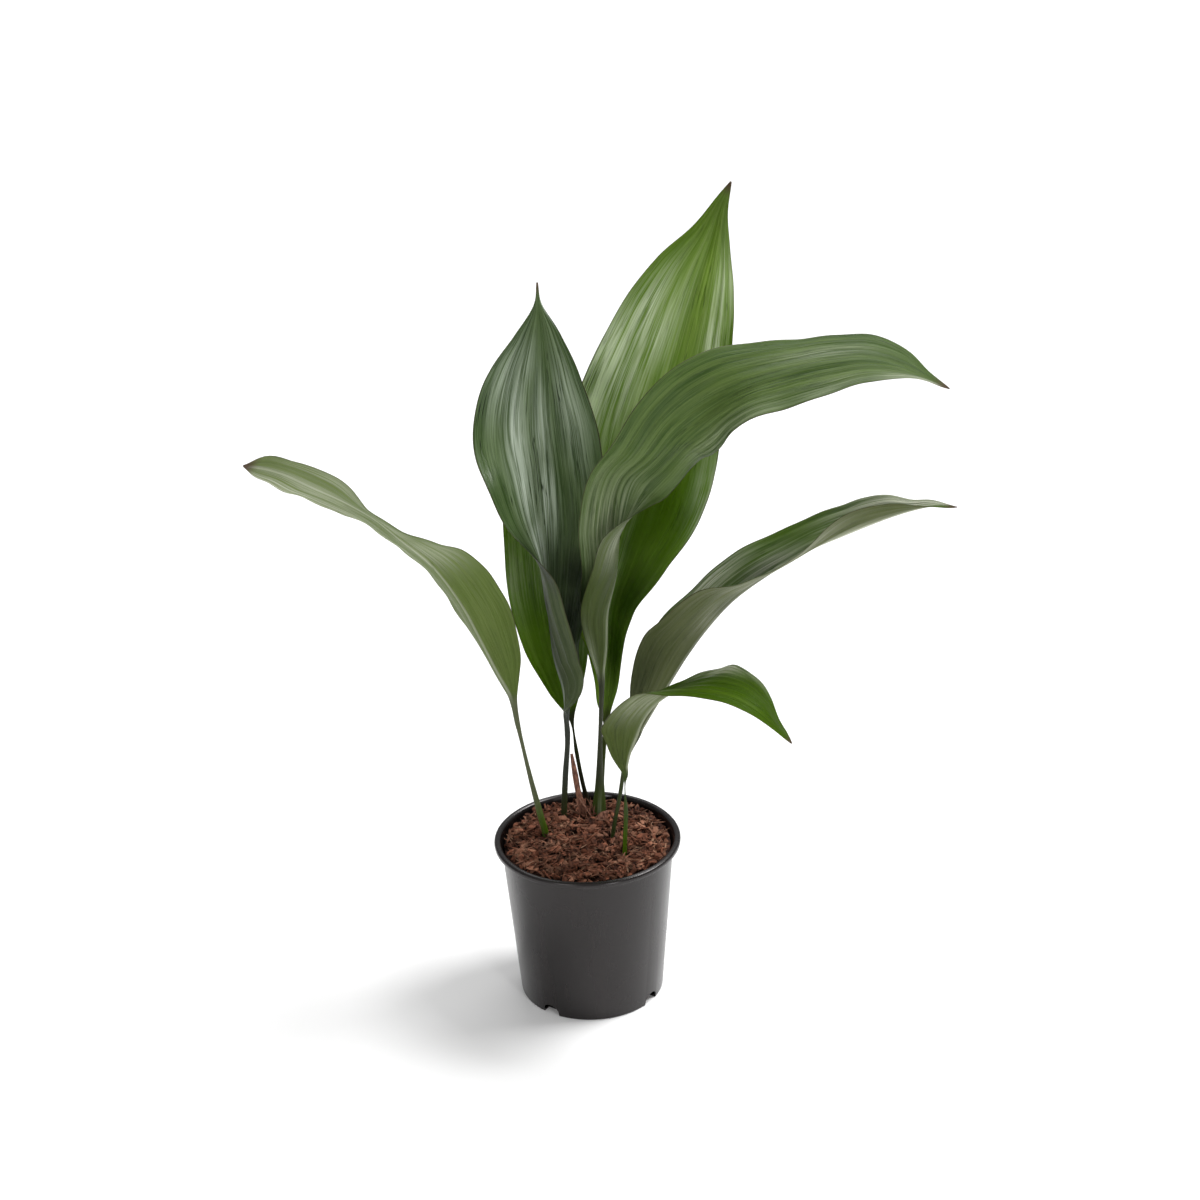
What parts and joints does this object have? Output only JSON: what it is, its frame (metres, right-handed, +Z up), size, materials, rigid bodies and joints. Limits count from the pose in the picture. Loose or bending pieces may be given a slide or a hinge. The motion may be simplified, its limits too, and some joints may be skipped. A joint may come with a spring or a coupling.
{
  "type": "potted cast iron plant",
  "caption": "Potted cast iron plant: long leathery leaves on thin stalks rise from a creeping stem set in bark mix, in a round dark plastic nursery pot with a rolled lip.",
  "frame": {"origin": "centre of the pot's flat foot, on the plane that it stands on", "axes": "+Z up, -Y is the front that the low leaf and the open side of the clump face, +X to the viewer's right"},
  "size_m": [0.5817, 0.3385, 0.7144],
  "materials": {
    "pot_plastic": "satin",
    "potting_mix": "matte",
    "rhizome": "matte",
    "dry_sheath": "matte",
    "bark": "matte",
    "leaf_left_arching": "satin",
    "leaf_upright_dark": "satin",
    "leaf_hidden_bright": "satin",
    "leaf_tallest": "satin",
    "leaf_broad_right": "satin",
    "leaf_trough_right": "satin",
    "leaf_low_front": "satin"
  },
  "bodies": {
    "root": {"nursery_pot": "pot_plastic", "potting_mix": "potting_mix", "rhizome": "rhizome", "dry_sheath_tall": "dry_sheath", "dry_sheath_low": "dry_sheath", "leaf_left_arching": "leaf_left_arching", "leaf_upright_dark": "leaf_upright_dark", "leaf_hidden_bright": "leaf_hidden_bright", "leaf_tallest": "leaf_tallest", "leaf_broad_right": "leaf_broad_right", "leaf_trough_right": "leaf_trough_right", "leaf_low_front": "leaf_low_front", "bark_chip_01": "bark", "bark_chip_02": "bark", "bark_chip_03": "bark", "bark_chip_04": "bark", "bark_chip_05": "bark", "bark_chip_06": "bark", "bark_chip_07": "bark", "bark_chip_08": "bark", "bark_chip_09": "bark", "bark_chip_10": "bark", "bark_chip_11": "bark", "bark_chip_12": "bark", "bark_chip_13": "bark", "bark_chip_14": "bark", "bark_chip_15": "bark", "bark_chip_16": "bark", "bark_chip_17": "bark", "bark_chip_18": "bark", "bark_chip_19": "bark", "bark_chip_20": "bark", "bark_chip_21": "bark", "bark_chip_22": "bark", "bark_chip_23": "bark", "bark_chip_24": "bark", "bark_chip_25": "bark", "bark_chip_26": "bark", "bark_chip_27": "bark", "bark_chip_28": "bark"}
  },
  "joints": []
}
